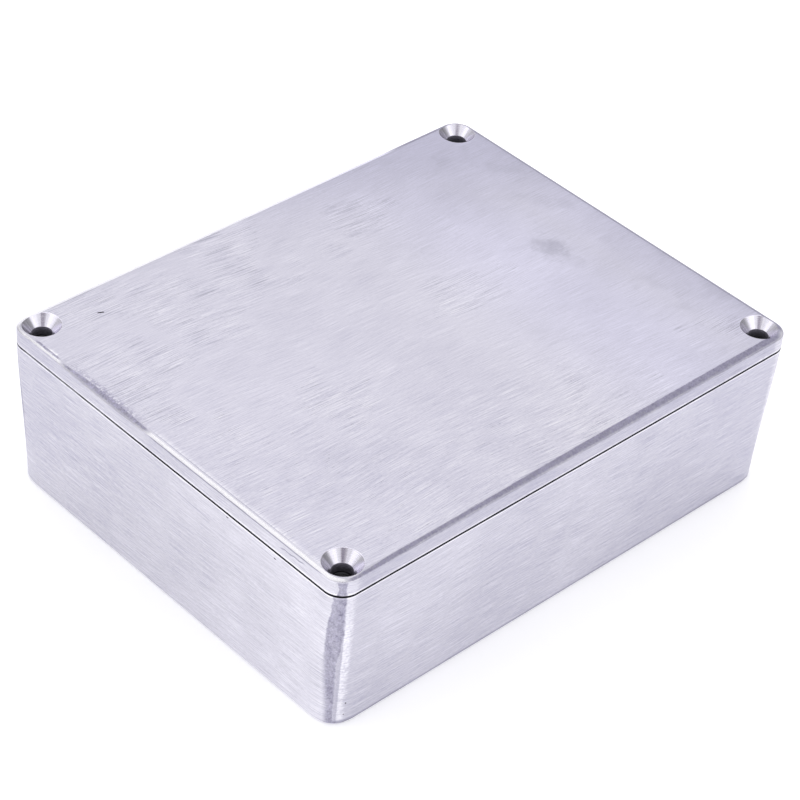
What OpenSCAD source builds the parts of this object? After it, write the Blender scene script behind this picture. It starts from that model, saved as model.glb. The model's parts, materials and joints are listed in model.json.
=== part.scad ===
// Die cast aluminium box: a deep drafted base and a shallow lid that four countersunk screws
// hold down. Both castings are modelled closed, standing on the base, with +Z up, +X along the
// long side and the origin in the middle of the underside. Sizes are in millimetres.

/* [Outside] */
// Length of the closed box at the joint line
box_length = 119.5; // [90:0.5:200]
// Width of the closed box at the joint line
box_width = 95.5; // [70:0.5:150]
// Height of the closed box
box_height = 37.2; // [30:0.2:60]
// Height of the lid's side, from the joint line to the top
lid_side = 4; // [3.6:0.1:5]
// Radius of the upright corners at the joint line
corner_radius = 4; // [3.6:0.1:5]
// Draft of the base's side walls, in degrees from upright
draft_angle = 1.4; // [0.5:0.1:1.6]
// Radius of the edge between the sides and the underside
foot_radius = 1; // [0.5:0.1:1.2]

/* [Walls] */
// Thickness of the base's side walls
wall = 2.2; // [1.8:0.1:2.6]
// Thickness of the floor
floor_thickness = 2.4; // [1.8:0.1:3]
// Radius between the floor and the walls inside
inner_foot_radius = 1.2; // [0.5:0.1:2]
// Radius of the hollow's corners, which blends the pillars into the walls
hollow_radius = 7; // [6:0.5:9]
// Thickness of the lid's plate
plate = 2.4; // [2:0.1:2.8]

/* [Lid edge] */
// Width of the bevel round the top, seen from above
bevel_width = 1.5; // [0.5:0.1:1.8]
// Drop of the bevel from the top to the side
bevel_drop = 0.8; // [0.3:0.1:1.2]
// Height of the shadow gap that shows as the joint line
gap_height = 0.2; // [0.1:0.05:0.4]
// Depth of the shadow gap
gap_depth = 0.6; // [0.3:0.1:1]

/* [Locating lip] */
// Thickness of the lip under the lid, at its free edge
lip_thickness = 1.3; // [1:0.1:1.8]
// Depth that the lip reaches into the base
lip_depth = 1.8; // [1:0.1:3]
// Clearance between the lip and the base's wall
lip_clearance = 0.25; // [0.15:0.05:0.4]
// Draft on each side of the lip, in degrees
lip_draft = 4; // [1:0.5:6]
// Space between the lip's ends and the pillars
lip_end_gap = 1.2; // [0.5:0.1:3]

/* [Screws] */
// Distance of each screw's axis from the box's sides
screw_inset = 4.6; // [4.3:0.1:5.5]
// Diameter of the clearance hole in the lid
clearance_diameter = 4.1; // [3.5:0.1:4.3]
// Diameter of the countersink at the top
countersink_diameter = 7.7; // [6.5:0.1:8]
// Included angle of the countersink
countersink_angle = 82; // [80:1:90]
// Diameter of the tapped hole in the base, at the crests of the thread
tapped_diameter = 2.9; // [2.5:0.1:3.2]
// Depth of the tapped hole
tapped_depth = 14; // [8:1:18]
// Radius of the corner pillars at the joint line
pillar_radius = 4.2; // [3.8:0.1:4.6]
// Draft of the pillars, in degrees
pillar_draft = 0.8; // [0.5:0.1:1.5]

/* [Casting marks] */
// Diameter of the marks left by the ejector pins
pin_mark_diameter = 6; // [4:0.5:8]
// Depth of those marks
pin_mark_depth = 0.2; // [0.1:0.05:0.3]

/* [Hidden] */
$fn = 64;

// How far a cutting shape runs past the face that it cuts
over = 1;
// Included angle of the point that a drill leaves
drill_point = 118;
// Width and depth of the lead-in at a tapped hole's mouth
lead_in = 0.3;
// Width and drop of the broken edge on the base's rim
rim_break = 0.12;
// Place of the ejector pin marks, as a share of the way from the middle to the screws
mark_spread = 0.6;

base_height = box_height - lid_side;
plate_underside = box_height - plate;
screw_x = box_length / 2 - screw_inset;
screw_y = box_width / 2 - screw_inset;

// Distances from the box's side to the outer and the inner face of the lip, at the joint line
lip_outer = wall + lip_clearance;
lip_inner = lip_outer + lip_thickness + 2 * lip_depth * tan(lip_draft);

// Signs of the four corners, going round from +X +Y
CORNERS = [[1, 1], [-1, 1], [-1, -1], [1, -1]];

// Half section of a drafted body: x runs out from the corner's axis and y runs up. The side
// leans in toward the bottom and ends in a round foot.
module drafted_section(radius_at_joint, bottom, foot, top) {
    lean = tan(draft_angle);
    radius_at_bottom = radius_at_joint - (base_height - bottom) * lean;
    foot_x = radius_at_bottom + foot * lean - foot / cos(draft_angle);
    foot_y = bottom + foot;
    polygon([
        [0, bottom],
        [foot_x, bottom],
        [foot_x, foot_y],
        [foot_x + foot * cos(draft_angle), foot_y - foot * sin(draft_angle)],
        [radius_at_joint + (top - base_height) * lean, top],
        [0, top]
    ]);
    intersection() {
        translate([foot_x, foot_y])
            circle(foot);
        translate([foot_x, bottom])
            square([foot, foot]);
    }
}

// Sweeps the child, a half section, round a rectangle with round corners and fills the middle
// from z = low to z = high
module swept_block(length, width, radius, low, high) {
    dx = length / 2 - radius;
    dy = width / 2 - radius;
    for (i = [0:3]) {
        run = i % 2 == 0 ? 2 * dy : 2 * dx;
        reach = i % 2 == 0 ? dx : dy;
        translate([CORNERS[i].x * dx, CORNERS[i].y * dy, 0])
            rotate(90 * i)
                rotate_extrude(angle = 90)
                    children();
        rotate(90 * i)
            translate([reach, run / 2, 0])
                rotate([90, 0, 0])
                    linear_extrude(run)
                        children();
    }
    translate([-dx, -dy, low])
        cube([2 * dx, 2 * dy, high - low]);
}

// Puts the child at each of the four screw axes
module at_screws() {
    for (c = CORNERS)
        translate([c.x * screw_x, c.y * screw_y, 0])
            children();
}

// Puts the child at each ejector pin mark
module at_pin_marks() {
    for (c = CORNERS)
        translate([c.x * screw_x * mark_spread, c.y * screw_y * mark_spread, 0])
            children();
}

// Outside of the base, up to the joint line
module base_envelope() {
    swept_block(box_length, box_width, corner_radius, 0, base_height)
        difference() {
            drafted_section(corner_radius, 0, foot_radius, base_height);
            translate([corner_radius, base_height])
                rotate(45)
                    square(2 * rim_break / sqrt(2), center = true);
        }
}

// Inside of the base, open at the top, which leaves the four pillars standing
module base_hollow() {
    top = base_height + over;
    difference() {
        swept_block(box_length - 2 * wall, box_width - 2 * wall, hollow_radius, floor_thickness, top)
            drafted_section(hollow_radius, floor_thickness, inner_foot_radius, top);
        at_screws()
            pillar();
    }
}

// Drafted pillar, thicker toward the floor, which runs past the joint line
module pillar() {
    growth = tan(pillar_draft);
    low_radius = pillar_radius + base_height * growth;
    high_radius = pillar_radius - 2 * over * growth;
    cylinder(base_height + 2 * over, low_radius, high_radius);
}

// Blind hole for a screw, with the drill's point at the bottom and a lead-in at the top
module tapped_hole() {
    radius = tapped_diameter / 2;
    shoulder = base_height - tapped_depth;
    rotate_extrude()
        polygon([
            [0, shoulder - radius / tan(drill_point / 2)],
            [radius, shoulder],
            [radius, base_height - lead_in],
            [radius + lead_in + over, base_height + over],
            [0, base_height + over]
        ]);
}

// Round mark of an ejector pin, from z = 0 up
module pin_mark() {
    cylinder(pin_mark_depth + over, r = pin_mark_diameter / 2);
}

module base() {
    color("Gainsboro")
        difference() {
            base_envelope();
            base_hollow();
            at_screws()
                tapped_hole();
            translate([0, 0, floor_thickness - pin_mark_depth])
                at_pin_marks()
                    pin_mark();
        }
}

// Outside of the lid: a bevel at the top and a shadow gap at the bottom
module lid_envelope() {
    gap_radius = corner_radius - gap_depth;
    swept_block(box_length, box_width, corner_radius, base_height, box_height)
        polygon([
            [0, base_height],
            [gap_radius, base_height],
            [gap_radius, base_height + gap_height],
            [corner_radius, base_height + gap_height],
            [corner_radius, box_height - bevel_drop],
            [corner_radius - bevel_width, box_height],
            [0, box_height]
        ]);
}

// Recess under the lid's plate, which leaves a pad round each screw
module lid_recess() {
    length = box_length - 2 * lip_inner;
    width = box_width - 2 * lip_inner;
    low = base_height - over;
    difference() {
        swept_block(length, width, hollow_radius, low, plate_underside)
            translate([0, low])
                square([hollow_radius, plate_underside - low]);
        at_screws()
            translate([0, 0, low - over])
                cylinder(lid_side + 2 * over, r = pillar_radius + (lip_inner - lip_outer) / 2);
    }
}

// One straight bar of the locating lip, along Y at the +X side
module lip_bar(side, run) {
    taper = lip_depth * tan(lip_draft);
    translate([side, run / 2, base_height])
        rotate([90, 0, 0])
            linear_extrude(run)
                polygon([
                    [-lip_outer, plate_underside - base_height],
                    [-lip_outer, 0],
                    [-lip_outer - taper, -lip_depth],
                    [-lip_inner + taper, -lip_depth],
                    [-lip_inner, 0],
                    [-lip_inner, plate_underside - base_height]
                ]);
}

// Four bars that keep the lid in place, cut short of the pillars
module locating_lip() {
    end_gap = pillar_radius + lip_end_gap;
    for (turn = [0, 180]) {
        rotate(turn)
            lip_bar(box_length / 2, 2 * (screw_y - end_gap));
        rotate(turn + 90)
            lip_bar(box_width / 2, 2 * (screw_x - end_gap));
    }
}

// Clearance hole with its countersink
module screw_hole() {
    bore = clearance_diameter / 2;
    rim = countersink_diameter / 2;
    slope = tan(countersink_angle / 2);
    rotate_extrude()
        polygon([
            [0, base_height - over],
            [bore, base_height - over],
            [bore, box_height - (rim - bore) / slope],
            [rim + over * slope, box_height + over],
            [0, box_height + over]
        ]);
}

module lid() {
    color("Silver")
        difference() {
            union() {
                difference() {
                    lid_envelope();
                    lid_recess();
                }
                locating_lip();
            }
            at_screws()
                screw_hole();
            translate([0, 0, plate_underside - over])
                at_pin_marks()
                    pin_mark();
        }
}

base();
lid();
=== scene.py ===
# %% [markdown]
# # A die cast aluminium box
#
# The real object is two castings: a deep base with leaning walls, and a shallow lid that four
# countersunk screws hold down. Both come out of a steel die, and a belt sander then takes the
# casting skin off their flat faces. Its edges, bevels and corners keep some of that skin.
#
# The construction is already packed to scale. This lesson loads it as a fixed frame, models the
# two castings again with the soft edges, turned holes, threads and small marks of real ones, and
# gives each kind of surface its own finish.

import json
import math

import bmesh
import bpy
import numpy as np
from mathutils import Matrix, Vector


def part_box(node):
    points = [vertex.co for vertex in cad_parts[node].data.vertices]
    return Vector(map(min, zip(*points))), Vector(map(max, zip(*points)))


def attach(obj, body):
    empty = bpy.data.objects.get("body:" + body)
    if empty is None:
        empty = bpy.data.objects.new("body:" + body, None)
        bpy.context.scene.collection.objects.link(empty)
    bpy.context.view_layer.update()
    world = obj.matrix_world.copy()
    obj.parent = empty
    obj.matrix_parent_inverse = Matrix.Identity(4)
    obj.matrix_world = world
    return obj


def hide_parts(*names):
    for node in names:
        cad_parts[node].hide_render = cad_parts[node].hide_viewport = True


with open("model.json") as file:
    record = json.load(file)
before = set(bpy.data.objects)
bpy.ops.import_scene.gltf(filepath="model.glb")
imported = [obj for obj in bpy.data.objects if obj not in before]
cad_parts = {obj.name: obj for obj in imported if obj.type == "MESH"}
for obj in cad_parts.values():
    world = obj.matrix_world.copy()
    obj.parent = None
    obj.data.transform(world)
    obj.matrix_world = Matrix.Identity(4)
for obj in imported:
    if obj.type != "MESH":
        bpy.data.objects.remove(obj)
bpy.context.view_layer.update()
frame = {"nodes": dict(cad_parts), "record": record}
print("nodes in the frame:", sorted(frame["nodes"]))

# %% [markdown]
# ## Sizes
#
# Everything that the frame knows is read from it: the two boxes, and the record of the screw
# holes. The rest are the few sizes of the drawing that a box can't tell, such as a radius. All
# sizes are in millimetres, because that is how a casting is drawn, and `MM` turns them into
# Blender's metres where a mesh is made.

# %% Sizes from the frame
MM = 0.001


def in_mm(corner):
    return [c / MM for c in corner]


base_low, base_high = (in_mm(c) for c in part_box("base"))
lid_low, lid_high = (in_mm(c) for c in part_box("lid"))
LENGTH = base_high[0] - base_low[0]
WIDTH = base_high[1] - base_low[1]
JOINT = base_high[2]
TOP = lid_high[2]
LIP_BOTTOM = lid_low[2]

mounts = {mount["name"]: mount for mount in frame["record"]["mounts"]}
hole_sizes = mounts["screw_holes"]["dims"]
SCREW_X = hole_sizes["spacing_x_mm"] / 2
SCREW_Y = hole_sizes["spacing_y_mm"] / 2
THREAD_CREST = hole_sizes["hole_r_mm"]
print(f"box {LENGTH:.1f} x {WIDTH:.1f} x {TOP:.1f} mm, joint at {JOINT:.1f} mm")

# %% Sizes from the drawing
CORNER = 4.0
LEAN = math.tan(math.radians(1.4))
FOOT = 1.0
WALL = 2.2
FLOOR = 2.4
INNER_FOOT = 1.2
HOLLOW_CORNER = 7.0
PLATE_UNDERSIDE = TOP - 2.4
BEVEL_WIDTH = 1.5
BEVEL_DROP = 0.8
GAP_HEIGHT = 0.2
GAP_DEPTH = 0.6
BORE = 2.05
COUNTERSINK = 3.85
COUNTERSINK_SLOPE = math.tan(math.radians(41))
THREAD_PITCH = 0.6
THREAD_ROOT = 1.75
THREAD_DEPTH = 14.0
PILLAR = 4.2
PILLAR_SLOPE = math.tan(math.radians(0.8))
OVER = 1.0

# %% [markdown]
# ## Sums with sockets
#
# Geometry Nodes and shaders share the same Math node, and a formula made of Math nodes is hard
# to read back. So one small class wraps a socket and adds a Math node for each Python operator.
# Every other node comes from one method, which sets the node's own settings first and then its
# inputs.

# %% A socket that can do sums


class Socket:
    """One output of a node, in the tree that it belongs to."""

    def __init__(self, tree, output):
        self.tree = tree
        self.output = output

    def sum(self, operation, *others, clamp=False):
        settings = {"operation": operation, "use_clamp": clamp}
        return self.tree.node("ShaderNodeMath", settings, dict(enumerate((self, *others))))

    def __add__(self, other):
        return self.sum("ADD", other)

    def __mul__(self, other):
        return self.sum("MULTIPLY", other)

    def __sub__(self, other):
        return self.sum("SUBTRACT", other)

    def __truediv__(self, other):
        return self.sum("DIVIDE", other)

    def __rsub__(self, other):
        return (self * -1) + other

    def __pow__(self, power):
        return self.sum("POWER", power)

    def __abs__(self):
        return self.sum("ABSOLUTE")

    def __neg__(self):
        return self * -1

    __radd__ = __add__
    __rmul__ = __mul__

    def least(self, other):
        return self.sum("MINIMUM", other)

    def most(self, other):
        return self.sum("MAXIMUM", other)

    def clamped(self):
        return self.sum("ADD", 0.0, clamp=True)


# %% A tree of nodes


class Tree:
    """A node tree, with one way to add any node to it."""

    def __init__(self, tree):
        self.tree = tree
        tree.nodes.clear()

    def add(self, kind, settings=None, inputs=None):
        made = self.tree.nodes.new(kind)
        for name, value in (settings or {}).items():
            setattr(made, name, value)
        for key, value in (inputs or {}).items():
            if isinstance(value, Socket):
                self.tree.links.new(value.output, made.inputs[key])
            else:
                made.inputs[key].default_value = value
        return made

    def node(self, kind, settings=None, inputs=None, output=0):
        return Socket(self, self.add(kind, settings, inputs).outputs[output])

    def vector(self, x, y, z):
        return self.node("ShaderNodeCombineXYZ", None, {0: x, 1: y, 2: z})

    def parts(self, vector):
        split = self.add("ShaderNodeSeparateXYZ", None, {0: vector})
        return [Socket(self, split.outputs[i]) for i in range(3)]

    def scaled(self, vector, amount):
        return self.node("ShaderNodeVectorMath", {"operation": "SCALE"}, {0: vector, "Scale": amount})

    def colours(self, share, first, second):
        """The first colour where share is 0 and the second where it is 1."""
        inputs = {0: share, 6: first, 7: second}
        return self.node("ShaderNodeMix", {"data_type": "RGBA"}, inputs, output=2)


def ramp(value, start, end):
    """0 before start, 1 after end, and soft in between. start may be the larger."""
    share = ((value - start) / (end - start)).clamped()
    return share * share * (3 - share * 2)


def between(value, start, full, last, end):
    """0 before start and after end, 1 from full to last, and soft between those."""
    return ramp(value, start, full) * ramp(value, end, last)


def near(value, place, far, close):
    """1 closer than close to a place, and 0 farther than far."""
    return ramp(abs(value - place), far, close)


# %% [markdown]
# ## The bevel that a sander leaves
#
# The bevel round the lid isn't even. It was cast 1.5 mm wide, and sanding the top and the sides
# took some of it away: most near one corner and along half of one short side. This function
# gives the share of the bevel that is left at a place on the lid. It is written with sockets, and
# the lid's shape uses it.

# %% The share of the bevel that is left
SIDE_BLEND = 8.0


def bevel_share(x, y):
    """Share of the cast bevel's width and drop left at x, y in millimetres."""
    long_side = 0.68 + 0.32 * ramp(x, -42.0, 10.0) - 0.22 * ramp(x, -45.0, -56.0)
    short_side = 0.5 + 0.32 * ramp(y, 2.0, 16.0) - 0.47 * ramp(y, 22.0, 36.0)
    front = 1 + (long_side - 1) * ramp(y, 0.0, SIDE_BLEND - WIDTH / 2)
    left = 1 + (short_side - 1) * ramp(x, 0.0, SIDE_BLEND - LENGTH / 2)
    by_long = ramp(abs(y) - WIDTH / 2 - abs(x) + LENGTH / 2, -2.0, 2.0)
    return left + (front - left) * by_long


# %% [markdown]
# ## Sections with soft corners
#
# A casting has no sharp edge. Where a side is swept from a section, the cheapest place to soften
# an edge is the section itself: each of its corners gets a radius, and the sweep carries the
# round along the whole edge. `soft_section` takes the corners as (out, up, radius).

# %% Draw a section
ARC_STEPS = 5


def soft_section(corners):
    """Points of a line with round corners, each with the number of the corner it belongs to."""
    points = []
    for i, (out, up, radius) in enumerate(corners):
        here = Vector((out, up))
        if radius == 0:
            points.append((here, i))
            continue
        back = (Vector(corners[i - 1][:2]) - here).normalized()
        on = (Vector(corners[(i + 1) % len(corners)][:2]) - here).normalized()
        half = back.angle(on) / 2
        reach = radius / math.tan(half)
        centre = here + (back + on).normalized() * (radius / math.sin(half))
        arm, last = here + back * reach - centre, here + on * reach - centre
        turning = arm.angle_signed(last)
        for step in range(ARC_STEPS + 1):
            points.append((centre + arm @ Matrix.Rotation(turning * step / ARC_STEPS, 2), i))
    return points


def as_object(name, data):
    """A new object with this data, in the scene."""
    made = bpy.data.objects.new(name, data)
    bpy.context.scene.collection.objects.link(made)
    return made


def section_object(name, corners, inward=(), upward=(), closed=False):
    """A section as edges. Corners named inward or upward follow the bevel's uneven edges."""
    points = soft_section(corners)
    mesh = bpy.data.meshes.new(name)
    edges = [(i, i + 1) for i in range(len(points) - 1)]
    if closed:
        edges.append((len(points) - 1, 0))
    mesh.from_pydata([(p.x * MM, p.y * MM, 0) for p, _ in points], edges, [])
    for label, chosen in (("inward", inward), ("upward", upward)):
        layer = mesh.attributes.new(label, "FLOAT", "POINT")
        layer.data.foreach_set("value", [float(i in chosen) for _, i in points])
    return as_object(name, mesh)


# %% [markdown]
# ## Sweep a section round the box
#
# The outside of each casting, the hollow and the recess under the lid all follow one rule: a
# section goes round a rectangle with round corners, and the middle is filled. That is work for
# Geometry Nodes. The path is a rectangle with filleted corners, cut into short steps. Curve to
# Mesh carries the section along it, and the two open ends are filled flat. Points that belong to
# the bevel's edges then move by what the sander took away.

# %% The tree that sweeps
FLOAT = "NodeSocketFloat"
MATERIAL = "NodeSocketMaterial"


class Shape(Tree):
    """A Geometry Nodes tree with named inputs. socket[label] is the identifier for a modifier."""

    def __init__(self, name, **inputs):
        super().__init__(bpy.data.node_groups.new(name, "GeometryNodeTree"))
        face = self.tree.interface
        face.new_socket("Geometry", in_out="INPUT", socket_type="NodeSocketGeometry")
        self.socket = {}
        for label, kind in {**inputs, "Material": MATERIAL}.items():
            made = face.new_socket(label.replace("_", " "), in_out="INPUT", socket_type=kind)
            self.socket[label] = made.identifier
        face.new_socket("Geometry", in_out="OUTPUT", socket_type="NodeSocketGeometry")
        self.start = self.tree.nodes.new("NodeGroupInput")

    def input(self, label="Geometry"):
        return Socket(self, self.start.outputs[label.replace("_", " ")])

    def attribute(self, name, kind="FLOAT"):
        return self.node("GeometryNodeInputNamedAttribute", {"data_type": kind}, {"Name": name})

    def joined(self, *geometries):
        join = self.add("GeometryNodeJoinGeometry")
        for geometry in geometries:
            self.tree.links.new(geometry.output, join.inputs[0])
        return Socket(self, join.outputs[0])

    def moved(self, geometry, offset):
        return self.node("GeometryNodeSetPosition", None, {0: geometry, "Offset": offset})

    def close(self, geometry):
        """The end of every tree: no instances are left, and the faces have their material."""
        real = self.node("GeometryNodeRealizeInstances", None, {0: geometry})
        done = self.node("GeometryNodeSetMaterial", None, {0: real, "Material": self.input("Material")})
        self.add("NodeGroupOutput", None, {0: done})


def carried(tree, path):
    """The section, which is the tree's own geometry, carried along a path."""
    path = tree.node("GeometryNodeSetCurveNormal", {"mode": "Z_UP"}, {0: path})
    across = {0: path, "Name": "across", "Value": tree.node("GeometryNodeInputNormal")}
    path = tree.node("GeometryNodeStoreNamedAttribute", {"data_type": "FLOAT_VECTOR"}, across)
    section = tree.node("GeometryNodeMeshToCurve", None, {0: tree.input()})
    section = tree.node("GeometryNodeTransform", None, {0: section, "Scale": (1, -1, 1)})
    skin = tree.node("GeometryNodeCurveToMesh", None, {0: path, "Profile Curve": section})
    return tree.node("GeometryNodeFlipFaces", None, {0: skin})


def filled(tree, skin):
    """The swept skin with a flat face over each open end."""
    z = tree.parts(tree.node("GeometryNodeInputPosition"))[2]
    heights = tree.add("GeometryNodeAttributeStatistic", None, {0: skin, 2: z})
    level = {end: Socket(tree, heights.outputs[end]) for end in ("Min", "Max")}
    middle = (level["Min"] + level["Max"]) / 2
    rim = tree.node("GeometryNodeInputMeshEdgeNeighbors").sum("COMPARE", 1, 0.5)
    caps = []
    for end, side in (("Max", "GREATER_THAN"), ("Min", "LESS_THAN")):
        chosen = {0: skin, "Selection": rim * z.sum(side, middle)}
        loop = tree.node("GeometryNodeMeshToCurve", None, chosen)
        cap = tree.node("GeometryNodeFillCurve", {"mode": "NGONS"}, {0: loop})
        caps.append(tree.moved(cap, tree.vector(0, 0, level[end])))
    caps[1] = tree.node("GeometryNodeFlipFaces", None, {0: caps[1]})
    whole = tree.joined(skin, *caps)
    return tree.node("GeometryNodeMergeByDistance", None, {0: whole, "Distance": 1e-6})


BLUNT_REACH = 7.0


def swept_tree():
    labels = ("Length", "Width", "Corner_radius", "Step", "Bevel_width", "Bevel_drop", "Blunting")
    tree = Shape("Section swept round a box", **dict.fromkeys(labels, FLOAT))
    sides = {"Width": tree.input("Length"), "Height": tree.input("Width")}
    path = tree.node("GeometryNodeCurvePrimitiveQuadrilateral", {"mode": "RECTANGLE"}, sides)
    rounding = {0: path, "Count": 24, "Radius": tree.input("Corner_radius")}
    path = tree.node("GeometryNodeFilletCurve", {"mode": "POLY"}, rounding)
    steps = {0: path, "Length": tree.input("Step")}
    path = tree.node("GeometryNodeResampleCurve", {"mode": "LENGTH"}, steps)
    skin = carried(tree, path)

    x, y, z = tree.parts(tree.node("GeometryNodeInputPosition"))
    lost = 1 - bevel_share(x / MM, y / MM)
    outward = lost * tree.attribute("inward") * tree.input("Bevel_width")
    raised = lost * tree.attribute("upward") * tree.input("Bevel_drop")
    shift = tree.scaled(tree.attribute("across", "FLOAT_VECTOR"), outward)
    from_end, from_side = LENGTH / 2 - abs(x) / MM, WIDTH / 2 - abs(y) / MM
    at_corner = ramp(from_end, BLUNT_REACH, 0) * ramp(from_side, BLUNT_REACH, 0)
    blunt = tree.input("Blunting") * at_corner * ramp(z / MM, JOINT, 0)
    pulled = tree.vector(x.sum("SIGN") * blunt * -1, y.sum("SIGN") * blunt * -1, raised)
    shift = tree.node("ShaderNodeVectorMath", None, {0: shift, 1: pulled})
    tree.close(filled(tree, tree.moved(skin, shift)))
    return tree


sweep = swept_tree()
print("sweeping tree:", len(sweep.tree.nodes), "nodes")

# %% [markdown]
# ## Turn a section and repeat it at the screws
#
# A countersink, a pillar and the round mark of an ejector pin are all turned shapes, and all of
# them repeat at four places that mirror each other. One tree makes the turned shape from its
# section and puts it on the corners of a grid. The section's distances are measured from a small
# circle round the axis, which is the path.

# %% The tree that turns and repeats
PATH_RADIUS = 1.0


def at_four_places(tree, shape):
    size = {"Size X": tree.input("Across"), "Size Y": tree.input("Along")}
    grid = tree.node("GeometryNodeMeshGrid", None, {**size, "Vertices X": 2, "Vertices Y": 2})
    return tree.node("GeometryNodeInstanceOnPoints", None, {0: grid, "Instance": shape})


def turned_tree():
    tree = Shape("Section turned at four places", Across=FLOAT, Along=FLOAT, Segments="NodeSocketInt")
    circle = {"Resolution": tree.input("Segments"), "Radius": PATH_RADIUS * MM}
    path = tree.node("GeometryNodeCurvePrimitiveCircle", {"mode": "RADIUS"}, circle)
    tree.close(at_four_places(tree, filled(tree, carried(tree, path))))
    return tree


turn = turned_tree()
print("turning tree:", len(turn.tree.nodes), "nodes")

# %% [markdown]
# ## Cut a thread
#
# The screws cut or find a thread in the base's blind holes. A thread is a rule too: the radius
# at a point depends only on how far up the helix it is. A tall cylinder with many rings is
# moved in or out by that rule. Near the bottom the rule fades to the plain drilled hole, and at
# the mouth a small cone takes over as the lead-in.

# %% The tree that cuts threads
RINGS_PER_TURN = 8
THREAD_SEGMENTS = 32
CREST_SHARE, FLANK_SHARE = 0.15, 0.7
THREAD_STARTS, THREAD_FULL = 3.4, 5.0
LEAD_IN = 0.3
DRILL_SLOPE = math.tan(math.radians(59))


def thread_tree():
    labels = ("Across", "Along", "Pitch", "Crest", "Root")
    tree = Shape("Threaded hole at four places", **dict.fromkeys(labels, FLOAT))
    height = THREAD_DEPTH + OVER
    rings = round(height / THREAD_PITCH * RINGS_PER_TURN)
    size = {"Vertices": THREAD_SEGMENTS, "Side Segments": rings, "Radius": MM, "Depth": height * MM}
    rod = tree.node("GeometryNodeMeshCylinder", {"fill_type": "TRIANGLE_FAN"}, size)
    x, y, z = tree.parts(tree.node("GeometryNodeInputPosition"))
    turns = z / tree.input("Pitch") - y.sum("ARCTAN2", x) / (2 * math.pi)
    wave = abs(turns.sum("FRACT") - 0.5) * 2
    tooth = ((wave - CREST_SHARE) / FLANK_SHARE).clamped()
    up = z / MM + height / 2
    tooth = tooth * ramp(up, THREAD_STARTS, THREAD_FULL)
    crest, root = tree.input("Crest"), tree.input("Root")
    mouth = crest + (up - THREAD_DEPTH + LEAD_IN) * MM
    radius = (crest + (root - crest) * tooth).most(mouth)
    share = radius / MM
    at_rim = (x * x + y * y).sum("GREATER_THAN", (0.5 * MM) ** 2)
    point = (1 - at_rim) * up.sum("LESS_THAN", 0.1) * crest * -1 / DRILL_SLOPE
    level = (JOINT - THREAD_DEPTH + height / 2) * MM
    place = tree.vector(x * share, y * share, z + level + point)
    rod = tree.node("GeometryNodeSetPosition", None, {0: rod, "Position": place})
    tree.close(at_four_places(tree, rod))
    return tree


thread = thread_tree()
print("threading tree:", len(thread.tree.nodes), "nodes")

# %% Turn a modifier's result into a plain mesh


def discard(made):
    mesh = made.data
    bpy.data.objects.remove(made)
    bpy.data.meshes.remove(mesh)


def as_mesh(made):
    """The mesh of an object with its modifiers applied. The object itself goes."""
    graph = bpy.context.evaluated_depsgraph_get()
    mesh = bpy.data.meshes.new_from_object(made.evaluated_get(graph))
    discard(made)
    return mesh


def grown(made, tree, **values):
    """The object after a Geometry Nodes tree has run on it, as a new object with a plain mesh."""
    modifier = made.modifiers.new(tree.tree.name, "NODES")
    modifier.node_group = tree.tree
    for label, value in values.items():
        modifier[tree.socket[label]] = value
    return as_object(made.name, as_mesh(made))


def in_metres(**sizes):
    return {label: size * MM for label, size in sizes.items()}


def swept(section, length, width, radius, material, step=0.5, blunting=0.0):
    box = in_metres(Length=length, Width=width, Corner_radius=radius, Step=step)
    wear = in_metres(Bevel_width=BEVEL_WIDTH, Bevel_drop=BEVEL_DROP, Blunting=blunting)
    return grown(section, sweep, Material=material, **box, **wear)


# %% Look at a mesh


def report(made):
    mesh = made.data
    check = bmesh.new()
    check.from_mesh(mesh)
    open_edges = sum(not e.is_manifold for e in check.edges)
    volume = check.calc_volume(signed=True) / MM**3
    check.free()
    print(f"{made.name}: {len(mesh.polygons)} faces, {open_edges} open edges, {volume:.0f} mm3")


# %% Materials to fill in later
def new_material(name):
    material = bpy.data.materials.new(name)
    material.use_nodes = True
    return material


sanded = new_material("sanded skin")
turned = new_material("turned countersink")
bored = new_material("bored hole")
as_cast = new_material("as cast inside")
print("materials:", [material.name for material in bpy.data.materials])

# %% Helpers that make and cut solids


def turned_at(name, points, across, along, material, segments=64):
    """A turned solid at four places. points are (radius, height, softening radius)."""
    section = section_object(name, [(r - PATH_RADIUS, z, soft) for r, z, soft in points])
    spacing = in_metres(Across=2 * across, Along=2 * along)
    return grown(section, turn, Material=material, Segments=segments, **spacing)


def combined(body, tool, operation="DIFFERENCE"):
    """The body after a Boolean with the tool, which is used up. Cut faces keep the tool's material."""
    modifier = body.modifiers.new(tool.name, "BOOLEAN")
    modifier.operation = operation
    modifier.object = tool
    modifier.solver = "MANIFOLD"
    modifier.material_mode = "TRANSFER"
    result = as_object(body.name, as_mesh(body))
    discard(tool)
    return result


# %% [markdown]
# ## The base casting
#
# The base leans out toward the joint so that it can leave the die, and its underside ends in a
# round foot. Inside, the die's core leaves a hollow with leaning walls and a pillar in each
# corner for a screw. Four shallow round marks show where pins pushed the casting out. Nobody
# sees the inside of a closed box, so its pillars, threads and pin marks are what such boxes
# usually have.
#
# A block with its corners rounded would do for a toy, but here each corner's radius shrinks as
# the walls lean in, and a sweep does that by itself. The belt has also blunted the upright
# corners near the foot. Points of the sweep near a corner are pulled in for it, and rows of
# points every 3 mm up the wall keep that pull smooth.

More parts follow.
